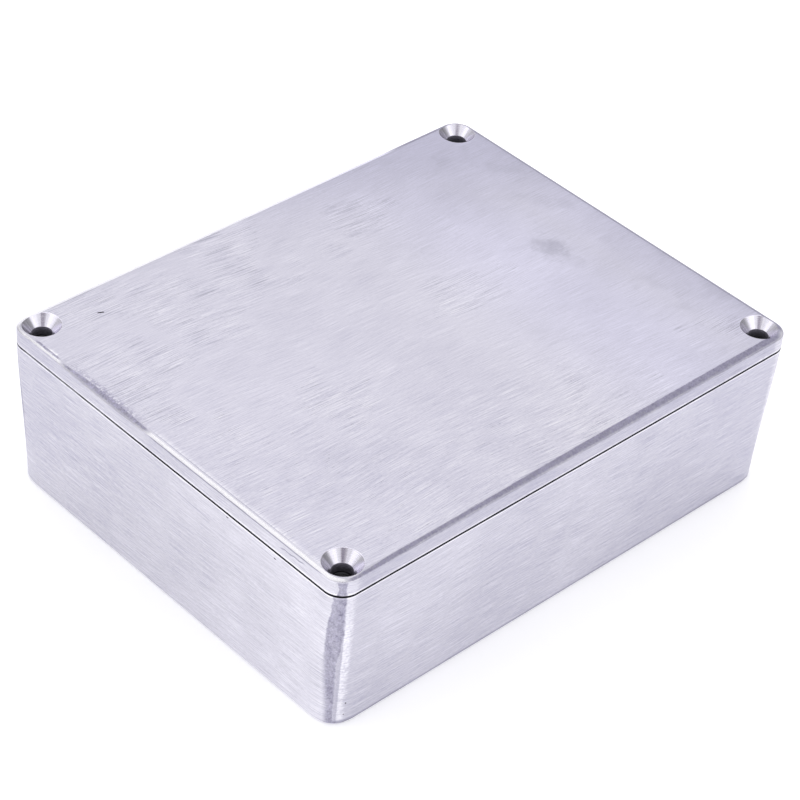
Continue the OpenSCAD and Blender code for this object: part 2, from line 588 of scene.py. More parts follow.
# %% Outside of the base
FINE_STEP = 0.3
BLUNTING = 0.9
foot_out = -JOINT * LEAN
rows = [((z - JOINT) * LEAN, z, 0) for z in range(4, 31, 3)]
base_section = section_object(
    "base casting",
    [(-3.2, 0, 0), (foot_out, 0, FOOT), *rows, (0, JOINT, 0.15), (-3.2, JOINT, 0)],
)
base = swept(base_section, LENGTH, WIDTH, CORNER, sanded, step=FINE_STEP, blunting=BLUNTING)
report(base)

# %% Hollow of the base, round its pillars
RIM_BREAK = 0.12
inner_foot_out = -(JOINT - FLOOR) * LEAN
hollow_section = section_object(
    "hollow",
    [
        (-6, FLOOR, 0),
        (inner_foot_out, FLOOR, INNER_FOOT),
        (0, JOINT - RIM_BREAK, 0),
        (RIM_BREAK + OVER, JOINT + OVER, 0),
        (-6, JOINT + OVER, 0),
    ],
)
hollow = swept(hollow_section, LENGTH - 2 * WALL, WIDTH - 2 * WALL, HOLLOW_CORNER, as_cast)
low_radius = PILLAR + JOINT * PILLAR_SLOPE
pillar_points = [(low_radius, 0, 0), (PILLAR, JOINT + 2 * OVER, 0)]
pillars = turned_at("pillars", pillar_points, SCREW_X, SCREW_Y, as_cast)
hollow = combined(hollow, pillars)
base = combined(base, hollow)
report(base)

# %% Threads and pin marks
PIN_MARK = 3.0
PIN_DEPTH = 0.2
MARK_SPREAD = 0.6
threads = as_object("threads", bpy.data.meshes.new("threads"))
spacing = in_metres(Across=2 * SCREW_X, Along=2 * SCREW_Y)
form = in_metres(Pitch=THREAD_PITCH, Crest=THREAD_CREST, Root=THREAD_ROOT)
base = combined(base, grown(threads, thread, Material=bored, **spacing, **form))
mark_x, mark_y = SCREW_X * MARK_SPREAD, SCREW_Y * MARK_SPREAD
mark_points = [(PIN_MARK - 0.05, FLOOR - PIN_DEPTH, 0), (PIN_MARK, FLOOR + OVER, 0)]
base = combined(base, turned_at("pin marks", mark_points, mark_x, mark_y, as_cast))
report(base)

# %% [markdown]
# ## The lid casting
#
# The lid is a shallow tray turned over. Its plate is 2.4 mm thick, a low frame runs round it,
# and a thin lip below the frame reaches into the base so that the lid can't slide. The bevel
# round the top and the narrow shadow gap at the joint are in its section.

# %% Outside of the lid
lid_section = section_object(
    "lid casting",
    [
        (-3.4, JOINT, 0),
        (-GAP_DEPTH, JOINT, 0),
        (-GAP_DEPTH, JOINT + GAP_HEIGHT, 0),
        (0, JOINT + GAP_HEIGHT, 0.12),
        (0, TOP - BEVEL_DROP, 0.3),
        (-BEVEL_WIDTH, TOP, 0.4),
        (-3.2, TOP, 0),
    ],
    inward=(5,),
    upward=(4,),
)
lid = swept(lid_section, LENGTH, WIDTH, CORNER, sanded, step=FINE_STEP)
report(lid)

# %% Recess under the plate, with a pad round each screw
LIP_THICKNESS = 1.3
LIP_DEPTH = JOINT - LIP_BOTTOM
LIP_TAPER = LIP_DEPTH * math.tan(math.radians(4))
lip_outer = WALL + 0.25
lip_inner = lip_outer + LIP_THICKNESS + 2 * LIP_TAPER
recess_section = section_object(
    "recess",
    [(-6, JOINT - OVER, 0), (0, JOINT - OVER, 0), (0, PLATE_UNDERSIDE, 0.4), (-6, PLATE_UNDERSIDE, 0)],
)
recess = swept(recess_section, LENGTH - 2 * lip_inner, WIDTH - 2 * lip_inner, HOLLOW_CORNER, as_cast)
pad = PILLAR + (lip_inner - lip_outer) / 2
pad_points = [(pad, JOINT - 2 * OVER, 0), (pad, TOP, 0)]
recess = combined(recess, turned_at("pads", pad_points, SCREW_X, SCREW_Y, as_cast))
lid = combined(lid, recess)
report(lid)

# %% Locating lip, cut short of the pillars
LIP_END_GAP = 1.2
INSET = 0.02
lip_section = section_object(
    "lip",
    [
        (-LIP_TAPER, LIP_BOTTOM, 0.3),
        (0, JOINT, 0),
        (0, JOINT + OVER, 0),
        (lip_outer - lip_inner + INSET, JOINT + OVER, 0),
        (lip_outer - lip_inner + INSET, JOINT, 0),
        (lip_outer - lip_inner + LIP_TAPER, LIP_BOTTOM, 0.3),
    ],
    closed=True,
)
lip = swept(lip_section, LENGTH - 2 * lip_outer, WIDTH - 2 * lip_outer, CORNER, as_cast)
report(lip)
reach = PILLAR + LIP_END_GAP
end_points = [(reach, LIP_BOTTOM - OVER, 0), (reach, JOINT + 2 * OVER, 0)]
lip = combined(lip, turned_at("lip ends", end_points, SCREW_X, SCREW_Y, as_cast))
report(lip)
lid = combined(lid, lip, "UNION")
report(lid)

# %% Countersunk holes and pin marks
RIM_SOFT = 0.15
slope_height = (COUNTERSINK - BORE) / COUNTERSINK_SLOPE
hole_points = [
    (BORE, JOINT - OVER, 0),
    (BORE, TOP - slope_height, 0.1),
    (COUNTERSINK, TOP, RIM_SOFT),
    (COUNTERSINK + 2 * OVER, TOP + 0.02, 0),
    (COUNTERSINK + 2 * OVER, TOP + OVER, 0),
]
holes = turned_at("holes", hole_points, SCREW_X, SCREW_Y, turned, 96)
report(holes)
lid = combined(lid, holes)
mark_points = [(PIN_MARK, JOINT - OVER, 0), (PIN_MARK - 0.05, PLATE_UNDERSIDE + PIN_DEPTH, 0)]
lid = combined(lid, turned_at("pin marks", mark_points, mark_x, mark_y, as_cast))
report(lid)

# %% [markdown]
# ## Pits and nicks
#
# A few small holes break the sanded faces: a pore that the sanding opened on the top, two nicks
# under the joint, and two more pores near the foot. A dent is a small rough ball pressed into
# the face. Each ball's roughness comes from its own fixed seed.

# %% Small dents


def dented(body, place, size, turn_by, seed):
    """The body with one small dent, cut by a rough ball. place and size are in millimetres."""
    ball = bmesh.new()
    bmesh.ops.create_icosphere(ball, subdivisions=3, radius=0.5)
    rough = np.random.default_rng(seed)
    ripples = rough.normal(0, 1, (4, 3)) * 3
    for vertex in ball.verts:
        swell = sum(math.sin(vertex.co.dot(Vector(ripple)) * 2 + i) for i, ripple in enumerate(ripples))
        vertex.co *= 1 + 0.12 * swell
    spin = Matrix.Rotation(math.radians(turn_by), 4, "Z")
    scaled = Matrix.Diagonal((*(Vector(size) * MM), 1))
    ball.transform(Matrix.Translation(Vector(place) * MM) @ spin @ scaled)
    mesh = bpy.data.meshes.new("dent")
    ball.to_mesh(mesh)
    ball.free()
    # The dent's faces take the holes' painted shade.
    mesh.materials.append(bored)
    return combined(body, as_object("dent", mesh))


def side_at(z):
    """How far the base's side has leant in at a height."""
    return (JOINT - z) * LEAN


PORE_ON_TOP = (-44.0, 39.3, TOP)
NICKS = ((-17.5, 32.4), (-30.65, 31.7))
FOOT_PORES = ((-55.4, -46.7, 5.5, 0.3), (-55.5, -46.4, 2.7, 0.5))
lid = dented(lid, PORE_ON_TOP, (1.3, 0.45, 0.5), -20, 5)
for y, z in NICKS:
    base = dented(base, (side_at(z) - LENGTH / 2, y, z), (0.25, 0.7, 0.25), 0, 7)
for x, y, z, size in FOOT_PORES:
    base = dented(base, (x, y, z), (size, 0.5, size), 0, 9)
report(base)
report(lid)

# %% [markdown]
# ## Finish the meshes
#
# Every face keeps the material of the shape that made it. Edges where two faces meet at a steep
# angle stay sharp, and weighted normals keep the flat faces flat next to their rounds.

# %% Clean the material slots and shade the faces


def tidy_materials(made):
    mesh = made.data
    used = [slot.material for slot in made.material_slots]
    kept = list(dict.fromkeys(m for m in used if m))
    index = np.zeros(len(mesh.polygons), dtype=np.int32)
    mesh.polygons.foreach_get("material_index", index)
    table = np.array([kept.index(m) if m else 0 for m in used])
    mesh.materials.clear()
    for material in kept:
        mesh.materials.append(material)
    mesh.polygons.foreach_set("material_index", table[index])


def shaded(made, name, node):
    tidy_materials(made)
    for layer in [a.name for a in made.data.attributes if a.name in ("inward", "upward", "across")]:
        made.data.attributes.remove(made.data.attributes[layer])
    made.data.polygons.foreach_set("use_smooth", [True] * len(made.data.polygons))
    made.data.set_sharp_from_angle(angle=math.radians(32))
    weighted = made.modifiers.new("flat faces stay flat", "WEIGHTED_NORMAL")
    weighted.keep_sharp = True
    done = as_object(name, as_mesh(made))
    done.data.name = name
    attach(done, "root")
    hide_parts(node)
    print(name, "has", [m.name for m in done.data.materials])
    return done


base = shaded(base, "base_casting", "base")
lid = shaded(lid, "lid_casting", "lid")

# %% [markdown]
# ## Sanded aluminium
#
# A belt sander has taken the casting skin off every flat face. The belt works across edges too,
# so one material covers the whole outside. It could be painted, but paint has a fixed sharpness,
# while rules stay sharp from near by and follow the box's own sizes. So the material first finds
# where it is: how far in from the side, how far below the top, and how far round a corner.

# %% Helpers for the finishes


class Shader(Tree):
    """A material's tree, with the object's coordinates in millimetres."""

    def __init__(self, material):
        super().__init__(material.node_tree)
        place = self.node("ShaderNodeTexCoord", output=3)
        self.mm = self.scaled(place, 1 / MM)
        self.x, self.y, self.z = self.parts(self.mm)

    def noise(self, vector, scale=1.0, detail=2.0):
        """Noise with a mean of 0, mostly between -1 and 1. On self.mm, scale is per millimetre."""
        values = {"Vector": vector, "Scale": scale, "Detail": detail}
        return (self.node("ShaderNodeTexNoise", None, values) - 0.5) * 4

    def mixed(self, share, first, second):
        """The first number where share is 0 and the second where it is 1."""
        return first + (second - first) * share

    def bump(self, height, distance):
        values = {"Height": height, "Distance": distance * MM}
        return self.node("ShaderNodeBump", None, values)

    def say(self, step):
        print(f"{step}: {len(self.tree.nodes)} nodes so far")

    def finish(self, colour, roughness, normal, metallic=1.0):
        values = {"Base Color": colour, "Metallic": metallic, "Roughness": roughness}
        surface = self.node("ShaderNodeBsdfPrincipled", None, {**values, "Normal": normal})
        self.add("ShaderNodeOutputMaterial", None, {0: surface})
        self.say("finished surface")


# %% Where on the box
shader = Shader(sanded)
x, y, z = shader.x, shader.y, shader.z
lean = (JOINT - z).most(0) * LEAN
from_x = LENGTH / 2 - abs(x) - lean
from_y = WIDTH / 2 - abs(y) - lean
bend = CORNER - lean
corner_x, corner_y = (bend - from_x).most(0), (bend - from_y).most(0)
outside = (corner_x * corner_x + corner_y * corner_y) ** 0.5
aside = bend - outside + (from_x.least(from_y) - bend).most(0)
sunk = TOP - z
round_corner = corner_y.sum("ARCTAN2", corner_x) * (180 / math.pi)
shader.say("place on the box")

# %% Names for its sides
left, front = x.sum("LESS_THAN", 0), y.sum("LESS_THAN", 0)
is_end = ramp(round_corner, 65, 25)
is_long = 1 - is_end
left_end, front_side = is_end * left, is_long * front
on_lid = z.sum("GREATER_THAN", JOINT + 0.05)
on_top = ramp(aside, 0.3, 1.0) * ramp(sunk, 1.2, 0.6)
underneath = ramp(z, 0.4, 0.05)
flat = on_top.most(underneath)
on_wall = 1 - flat
shader.say("sides of the box")

# %% [markdown]
# ## Lines of the belt
#
# The belt leaves fine lines, all nearly the same way: along the length on the top and on the
# long sides, and along the width on the short ones. A picture of scratches would repeat, so each
# line is noise that is stretched along the belt's way. Three lengths of it together look like
# real grit: hairs, short hairs and specks. A few lines on the walls lie at a slant.

# %% Along and across the belt's way
BELT_ANGLE = math.radians(-2.7)
wander = shader.noise(shader.mm, 0.02, 1.0)
top_along = x * math.cos(BELT_ANGLE) + y * math.sin(BELT_ANGLE)
top_across = y * math.cos(BELT_ANGLE) - x * math.sin(BELT_ANGLE) + wander * 1.5
side_along = shader.mixed(is_end, x, y)
side_across = z + side_along * 0.02 + wander * 1.2
along = shader.mixed(flat, side_along, top_along)
across = shader.mixed(flat, side_across, top_across)
layer = on_top * 50 + underneath * 90 + on_wall * (is_end * 20 + left * 7 + front * 3)
shader.say("way of the belt")

# %% Fine lines
THIN_ON_TOP = 0.115
THIN_ON_WALL = 0.17


def lines(length, width, seed, detail=0.0, slant=0.0):
    """Noise drawn out along the belt's way. length and width are in millimetres."""
    far, wide = (along + across * slant) / length, (across - along * slant) / width
    return shader.noise(shader.vector(far, wide, layer + seed), 1.0, detail)


thin = shader.mixed(flat, THIN_ON_WALL, THIN_ON_TOP)
hair = lines(8.0, thin, 3)
short_hair = lines(4.5, thin * 0.75, 29)
specks = lines(0.9, thin * 0.7, 97)
scratches = ramp(lines(10.0, thin * 1.3, 71), 0.35, 0.75)
slanted = lines(3.5, thin * 1.3, 57, slant=0.14)
streak = lines(24.0, 0.9, 41, 2.0)
shader.say("fine lines")

# %% [markdown]
# ## How the belt pressed, and painted light and shade
#
# The belt didn't press evenly. Its lines are strong near the front left corner and weaker at the
# right, and at the back left they gather in clusters, with dark scratches between them. Wide
# soft clouds change the tone over a centimetre or two. Whole areas are also lighter or darker by
# up to 15 parts in a hundred, and those are painted light and shade: the left end is lighter toward
# the front and darker toward the back, the front side is darker toward the right, and the top is
# darker toward the far right and the front left. A patch in the middle of the top is lighter. Each
# of these is a mask with soft ends, times a small amount.

# %% Strength of the lines
clouds = shader.noise(shader.mm, 0.07, 3.0)
patch = shader.noise(shader.mm, 0.035, 2.0)
front_left = ramp(-x * 0.6 - y, 0.0, 50.0)
back_left = ramp(y, -5.0, 35.0) * ramp(x, 25.0, -30.0)
calm = ramp(x, 15.0, 45.0)
cluster = patch * 0.5 + clouds * 0.8 + 0.3 * back_left - 0.4 * front_left - 0.5 * calm
cluster = ramp(cluster, 0.1, 0.5)
dark_lines = scratches * (0.1 + 0.9 * cluster * flat)
vigour = 0.55 + 0.5 * front_left + 0.35 * cluster - 0.12 * calm
vigour = shader.mixed(flat, 0.8, vigour)
crossed = left_end * between(y, 8.0, 20.0, 34.0, 46.0) * between(z, 6.0, 12.0, 19.0, 25.0)
belt = (hair * 0.15 + short_hair * 0.14 + specks * 0.1) * vigour + streak * 0.014
belt = belt + slanted * on_wall * (0.02 + 0.09 * crossed)
shader.say("strength of the lines")

# %% Lighter and darker areas, mostly painted light and shade
# Painted light and shade on the walls: the left end is lighter toward the front and darker toward the
# back, and the front side is darker toward the right.
left_wall_light_and_shade = left_end * (0.13 * ramp(y, 20.0, -46.0) - 0.05 * ramp(y, 10.0, 42.0))
front_wall_shade = front_side * ramp(x, 0.0, 56.0) * -0.09
# Painted shade on the top: darker toward the far right and the front left.
far_right_shade = ramp(x + y * 1.4, 42.0, 112.0).most(ramp(x, 36.0, 60.0) * 0.75) * on_top
near_left_shade = ramp(-x - y * 0.8, 10.0, 80.0) * on_top
middle = ramp(x, -15.0, 25.0) * ramp(y, 30.0, 6.0) * on_top
tone = 1 + belt + clouds * 0.04 + patch * 0.03 - dark_lines * 0.3
tone = tone + (left_wall_light_and_shade + front_wall_shade) * on_wall
tone = tone - far_right_shade * 0.15 - near_left_shade * 0.035 + middle * 0.05
shader.say("areas of tone")

# %% [markdown]
# ## Casting skin in the bevel
#
# Where the belt never touched, the grey grainy skin of the casting stays. In the bevel it runs
# all along the front and the right end, and only over part of the back and of the left end,
# where it also spreads onto the top in a low spot. Noise at four sizes, from blotches of a few
# millimetres down to grain, keeps its edges ragged as a worn edge is.

# %% Grain of the skin
blotch = shader.noise(shader.mm, 0.35, 2.0)
mottle = shader.noise(shader.mm, 1.1, 3.0)
speckle = shader.noise(shader.mm, 1.9, 3.0)
grain = shader.noise(shader.mm, 3.2, 1.0)
shader.say("grain of the skin")

# %% Skin in the bevel
SKIN_START, SKIN_END = 4.2, 33.0
narrowing = front_side * ramp(x, -35.0, -54.0)
bevel = ramp(sunk + speckle * 0.02, 0.03, 0.12) * ramp(sunk, 1.1, 0.9) * on_lid
lower_edge = ramp(aside + speckle * 0.06, 0.0, 0.5 - 0.35 * narrowing)
along_front = front_side * between(x, -58.5, -56.5, 55.5, 58.5)
along_back = is_long * (1 - front) * ramp(x, 36.0, 44.0)
along_left = left_end * between(y, SKIN_START, 7.0, 30.0, SKIN_END)
along_right = is_end * (1 - left)
unsanded = (along_front + along_back + along_left + along_right).clamped()
grainy = (0.85 + 0.3 * speckle).clamped()
cast = bevel * lower_edge * unsanded * grainy * (1 - 0.12 * left_end)
low_spot = left_end * on_top * between(y, SKIN_START, 14.0, 22.0, SKIN_END)
low_spot = low_spot * ramp(aside + mottle * 0.5, 2.8, 1.5) * ramp(speckle + mottle, -0.3, 0.3)
thin_line = left_end * on_lid * between(y, 32.0, 33.5, 39.0, 40.5)
thin_line = thin_line * near(aside - mottle * 0.1, 0.75, 0.3, 0.1)
cast = cast.most(low_spot * 0.7).most(thin_line * 0.8)
shader.say("skin in the bevel")

# %% [markdown]
# ## Casting skin and painted reflection down the corners
#
# A belt can't bend round an upright corner, so a strip of skin is left down each one. Its dark
# colour is also a painted dark reflection, and it is painted paler on one side. It starts narrow
# at the joint and spreads on its way down. It is drawn by the angle round the corner, which is
# carried on past the ends of the round at 17 degrees for each millimetre, so the strip can be
# wider than the round. On the lid it is a short piece with a waist.

# %% Strip down each corner: skin with a painted dark reflection
DEGREES_PER_MM = 17
WAIST_HEIGHT = 35.0
down = (JOINT - z) / JOINT
past_x, past_y = (from_x - bend).most(0), (from_y - bend).most(0)
around = round_corner + (past_x - past_y) * DEGREES_PER_MM
ragged = (blotch + mottle) * 3
begin = 24 - 19 * ramp(down, 0.0, 0.4) - 13 * ramp(down, 0.35, 0.55) + 8 * ramp(down, 0.6, 0.9)
full = 30 - 19 * ramp(down, 0.0, 0.4) + 15 * ramp(down, 0.35, 0.8)
dark_until = 62 - 15 * ramp(down, 0.3, 0.55)
# Painted reflection: the strip is darkest on one side of the corner and paler on the other.
reflection_darkness = 0.35 + 0.65 * ramp(around + ragged * 0.8, dark_until + 3, dark_until - 2)
base_strip_skin_and_reflection = ramp(around + ragged, begin, full) * ramp(around + ragged * 0.6, 66, 63)
base_strip_skin_and_reflection = base_strip_skin_and_reflection * reflection_darkness * (1 - underneath) * (1 - on_lid)
waist = abs(z - WAIST_HEIGHT) * 4
lid_strip_skin_and_reflection = between(round_corner, 40 - waist, 44 - waist, 56 + waist, 60 + waist)
lid_strip_skin_and_reflection = lid_strip_skin_and_reflection * on_lid * ramp(sunk, 0.5, 0.9)
worn = 0.66 + 0.12 * blotch - 0.12 * mottle - 0.1 * grain
cast = cast.most((base_strip_skin_and_reflection + lid_strip_skin_and_reflection) * worn.clamped())
shader.say("strips down the corners")

# %% [markdown]
# ## Polished edges and painted highlights
#
# Where the belt ran over an edge it pressed hard and polished it, which makes it less rough, and
# those edges also get a painted highlight in their colour: the bevel wherever it has no skin, a
# fringe beside each corner strip, the round of the lid above it, and both lips of the joint. On
# the left end a fine dull line stays on each side of the polished bevel.

# %% Edges that the belt polished, with painted highlights
polished = left_end * between(y, -43.5, -41.5, 3.0, 6.0)
bevel_polish_highlight = bevel * (1 - unsanded) * ramp(aside, 0.02, 0.1)
glow = polished * on_top * ramp(aside, 2.2, 0.9)
fringe_highlight = ramp(around + ragged * 0.6, 63, 68) * ramp(around + mottle * 8, 100, 76)
fringe_highlight = fringe_highlight * (1 - on_lid) * (1 - underneath)
fringe_highlight = fringe_highlight * (0.85 + speckle * 0.6) * (0.5 + 0.5 * ramp(down, 0.05, 0.3))
lid_round_highlight = ramp(around, 58, 64) * ramp(around + mottle * 6, 115, 85) * on_lid * on_wall
rubbed_highlight = left_end * near(y, 35.0, 2.0, 0.8) * on_top * ramp(aside + mottle * 0.2, 1.6, 1.0)
from_seam = abs(z - JOINT - 0.1 - blotch * 0.04)
joint_lip_highlight = between(from_seam, 0.22, 0.32, 0.45, 0.75) * ramp(aside, 0.4, 0.1) * (0.8 + mottle * 0.3)
# Painted highlight: these masks brighten the colour by up to 70 parts in a hundred, and the real polish
# lowers the roughness.
polish_and_highlight = bevel_polish_highlight * 0.8 + glow * 0.25 + fringe_highlight * 0.5 + lid_round_highlight * 0.35 + rubbed_highlight * 0.5
polish_and_highlight = (polish_and_highlight + joint_lip_highlight * 0.6).clamped()
upper_line = near(aside - blotch * 0.03, 0.98, 0.14, 0.06) * ramp(y, -41, -25) * 0.6
lower_line = near(sunk - blotch * 0.03, 0.56, 0.16, 0.06) * ramp(aside, 0.15, 0.06)
dull_lines = polished * on_lid * (upper_line + lower_line)
shader.say("polished edges")

# %% [markdown]
# ## Marks, stains and the joint
#
# Some wear lies in single places: a smudge and faint stains on the top at the right, a short
# scratch and a wavy flow mark on the left end. The joint is a real gap in the mesh, and its
# walls and the edges beside it get painted shade, nearly black. Toward the back of the left end
# that painted shade is weaker, so it shows less.

# %% Smudge and stains on the top
smudge_x, smudge_y = (x - 41.2) / 2.8, (y - 1.1) / 4.2
smudge = (smudge_x * smudge_x + smudge_y * smudge_y) ** 0.5 + blotch * 0.6 + mottle * 0.3
smudge = ramp(smudge, 1.5, 0.2) * on_top
stains = ramp(shader.noise(shader.mm, 0.13, 2.0), 0.1, 0.8) * ramp(x, 30.0, 48.0) * on_top
shader.say("smudge and stains")

# %% Scratch and flow mark on the left end
scratch = near(z - y * 0.068 - blotch * 0.1, 29.0, 0.14, 0.05)
scratch = scratch * between(y, -13.2, -12.0, -3.8, -2.6)
ripple = (y * 2.6).sum("SINE") * 0.08
flow_mark = near(z + y * 0.056 - ripple, 33.54, 0.2, 0.06)
flow_mark = flow_mark * between(y, -38.5, -37.5, -32.5, -31.5)
marks = (scratch * 0.3 + flow_mark * 0.45) * left_end * on_wall
shader.say("scratch and flow mark")

# %% Painted shade in the joint
# Painted shade in the gap of the joint, on the base below it and on the lid above it.
uneven = blotch * 0.03 + mottle * 0.02
below = ramp(z + uneven, JOINT - 0.21, JOINT - 0.14) * (1 - on_lid) * ramp(aside, 1.2, 0.8)
above = ramp(z + uneven, JOINT + GAP_HEIGHT + 0.14, JOINT + GAP_HEIGHT + 0.08)
above = above * z.sum("GREATER_THAN", JOINT - 0.01)
# The joint's painted shade fades toward the back of the left end.
joint_shade_fading = left_end * ramp(y, 0.0, 30.0) * (0.55 + 0.4 * blotch)
joint_shade = below.most(above) * (1 - joint_shade_fading.clamped())
shader.say("grime in the joint")

# %% [markdown]
# ## Colour of the metal
#
# All the masks now come together. The metal's tone is a product of small factors, among them
# painted shade along the foot of the long sides and a painted shine toward the front of the left
# end, and its hue goes from a cool grey in the shade to a paler one where it shines. The skin of
# the casting, and then the joint's painted shade, are mixed over it. Lines and grain also feed the
# roughness and a very low bump, so that they catch the light. Their height is far too small to
# model.

# %% Tone of the metal
# Painted shade: the long sides are darker along the foot.
painted_foot_shade = ramp(z, 1.5, 0.7) * is_long * (1 - underneath)
# Painted shine: the wall of the left end is lighter toward the front.
painted_left_shine = left_end * ramp(y, -26.0, -43.0) * on_wall
lid_side = on_lid * on_wall * ramp(aside, 0.4, 0.1)
shade = left_end * (0.03 - 0.04 * ramp(z, 14.0, 2.0)) + front_side * 0.02
shade = shade * on_wall * (1 - on_lid) + lid_side * (0.08 + 0.05 * front_side)
tone = tone * (1 - marks) * (1 - smudge * 0.19 - stains * 0.07) * (1 + polish_and_highlight * 0.7)
tone = tone * (1 - dull_lines * 0.5) * (1 - painted_foot_shade * 0.4) * (1 + painted_left_shine * 0.05) * (1 - shade)
shader.say("tone of the metal")

# %% Colours
METAL = (0.66, 0.645, 0.74, 1)
PALE = (0.68, 0.67, 0.71, 1)
COOL = (0.65, 0.635, 0.79, 1)
SKIN_DARK = (0.14, 0.13, 0.2, 1)
SKIN_LIGHT = (0.51, 0.485, 0.65, 1)
JOINT_SHADE_COLOUR = (0.012, 0.012, 0.015, 1)
BRIGHTEST = 1.42
pale_wall = on_wall * (left_end * 0.6 + front_side * 0.4)
hue = shader.colours(ramp(tone, 1.0, 1.35).most(pale_wall), METAL, PALE)
coolness = far_right_shade.most(ramp(tone, 1.0, 0.75) * 0.8)
coolness = coolness.most(between(x, 5.0, 35.0, 35.0, 65.0) * 0.6 * on_top)
hue = shader.colours(coolness, hue, COOL)
colour = shader.scaled(hue, tone.least(BRIGHTEST))
rugged = 1 + left_end * on_lid
skin_tone = 0.46 + (speckle * 0.25 + grain * 0.15 + mottle * 0.15) * rugged
skin = shader.colours(skin_tone.clamped(), SKIN_DARK, SKIN_LIGHT)
colour = shader.colours(cast, colour, skin)
# The joint's painted shade goes over everything else.
colour = shader.colours(joint_shade * 0.97, colour, JOINT_SHADE_COLOUR)
shader.say("colours")

# %% Roughness and bump
BUMP_HEIGHT = 0.006
roughness = 0.4 + belt * 0.4 + clouds * 0.015 + cast * 0.15 - polish_and_highlight * 0.12 + joint_shade * 0.2
height = belt * 4 * (1 - cast) + cast * (speckle + mottle * 0.5)
shader.finish(colour, roughness, shader.bump(height, BUMP_HEIGHT))

# %% [markdown]
# ## Turned countersinks
#
# A cutter turns each countersink, so its marks run in rings. The cone mirrors the studio all the
# way round, and a dark sector and a grey streaky sector are painted reflections in its colour,
# the same in every hole, where the cutter's chatter is also stronger. So this finish is worked out
# in polar terms: the distance from the screw's axis gives the rings, and the swing round it gives
# the sectors. The bore below is painted dark, as painted shade that deepens downward.

# %% Turned countersinks
DARK_REFLECTION_SIDE = math.radians(145)
GREY_REFLECTION_SIDE = math.radians(-80)
BRIGHT_METAL = (0.9, 0.875, 0.99)
BORE_SHADE_COLOUR = (0.22, 0.21, 0.26)
shader = Shader(turned)
x, y, z = shader.x, shader.y, shader.z
side_x, side_y = x.sum("SIGN"), y.sum("SIGN")
in_x, in_y = abs(x) - SCREW_X, abs(y) - SCREW_Y
swing = (y - side_y * SCREW_Y).sum("ARCTAN2", x - side_x * SCREW_X)
distance = (in_x * in_x + in_y * in_y) ** 0.5
rings = shader.noise(shader.vector(distance * 9, side_x * 3, side_y * 5), 1.0, 2.0)
turning = shader.vector(swing.sum("COSINE") * 4, swing.sum("SINE") * 4, side_x * 2 + side_y)
chatter = shader.noise(turning, 1.0, 2.0)
# Painted reflection: a dark sector and a grey streaky sector of the cone.
dark_reflection = ramp((swing - DARK_REFLECTION_SIDE).sum("COSINE") + chatter * 0.1, 0.5, 0.8)
grey_reflection = ramp((swing - GREY_REFLECTION_SIDE).sum("COSINE"), 0.25, 0.6)
speckle = shader.noise(shader.mm, 6.0, 2.0)
tone = 1 + rings * 0.04 + chatter * (0.06 + 0.12 * dark_reflection + 0.08 * grey_reflection) + speckle * 0.04
cone = shader.scaled(BRIGHT_METAL, tone - dark_reflection * 0.55 - grey_reflection * 0.2)
shader.say("turned cone")

# %% The bore below the cone
bore_top = TOP - slope_height
in_bore = ramp(z, bore_top + 0.05, bore_top - 0.05)
# Painted shade: the bore's colour gets darker the deeper it goes.
bore_depth_shade = ramp(z, bore_top, bore_top - 1.3)
drag_marks = shader.noise(shader.vector(x, y, z * 4), 1.5, 3.0)
bore_shade = shader.scaled(BORE_SHADE_COLOUR, (1 - 0.6 * bore_depth_shade) * (1 + drag_marks * 0.5))
colour = shader.colours(in_bore, cone, bore_shade)
roughness = 0.2 + chatter * 0.03 + speckle * 0.02 + in_bore * 0.25
shader.finish(colour, roughness, shader.bump(rings * 0.4 + chatter * 0.5, 0.01), 1 - in_bore * 0.9)

# %% [markdown]
# ## Threads and the inside
#
# The tapped holes and the pores are painted nearly black, as shade in a hole. The inside keeps the
# whole casting skin: dull, finely grained, and cloudy where the metal flowed. Neither is seen in a
# closed box, so plain speckle and slow clouds are enough.

# %% Threaded holes
# Painted shade: the holes and pores are nearly black.
HOLE_DARK = (0.03, 0.03, 0.035, 1)
HOLE_LIGHT = (0.09, 0.09, 0.1, 1)
shader = Shader(bored)
speckle = shader.noise(shader.mm, 5.0, 3.0)
colour = shader.colours(speckle * 0.4 + 0.5, HOLE_DARK, HOLE_LIGHT)
shader.finish(colour, 0.45 + speckle * 0.08, shader.bump(speckle, 0.01))

# %% Casting skin inside
INSIDE_DARK = (0.36, 0.355, 0.39, 1)
INSIDE_LIGHT = (0.55, 0.54, 0.58, 1)
shader = Shader(as_cast)
speckle = shader.noise(shader.mm, 3.0, 3.0)
flow = shader.noise(shader.mm, 0.06, 3.0)
cloudy = (flow * 0.3 + speckle * 0.15 + 0.5).clamped()
colour = shader.colours(cloudy, INSIDE_DARK, INSIDE_LIGHT)
roughness = 0.5 + speckle * 0.05 + flow * 0.04
shader.finish(colour, roughness, shader.bump(speckle * 0.5 + flow, 0.02))

# %% [markdown]
# ## Studio
#
# A metal box shows what stands round it, so the studio is part of its look. It stands on pale
# paper that shows white to the camera and keeps the shadow. Round it is a white backdrop. In a
# mirror that backdrop is darker low down than overhead, and darkest behind the camera, where
# the room is dark. The cones of the countersinks show that patch.

# %% Floor
FLOOR_SIZE = 12
far = FLOOR_SIZE / 2
floor_mesh = bpy.data.meshes.new("floor")
rim = [(-far, -far, 0), (far, -far, 0), (far, far, 0), (-far, far, 0)]
floor_mesh.from_pydata(rim, [], [(0, 1, 2, 3)])
floor = as_object("floor", floor_mesh)
paper = new_material("pale floor")
floor_mesh.materials.append(paper)
print("floor:", FLOOR_SIZE, "m square")

# %% Pale paper


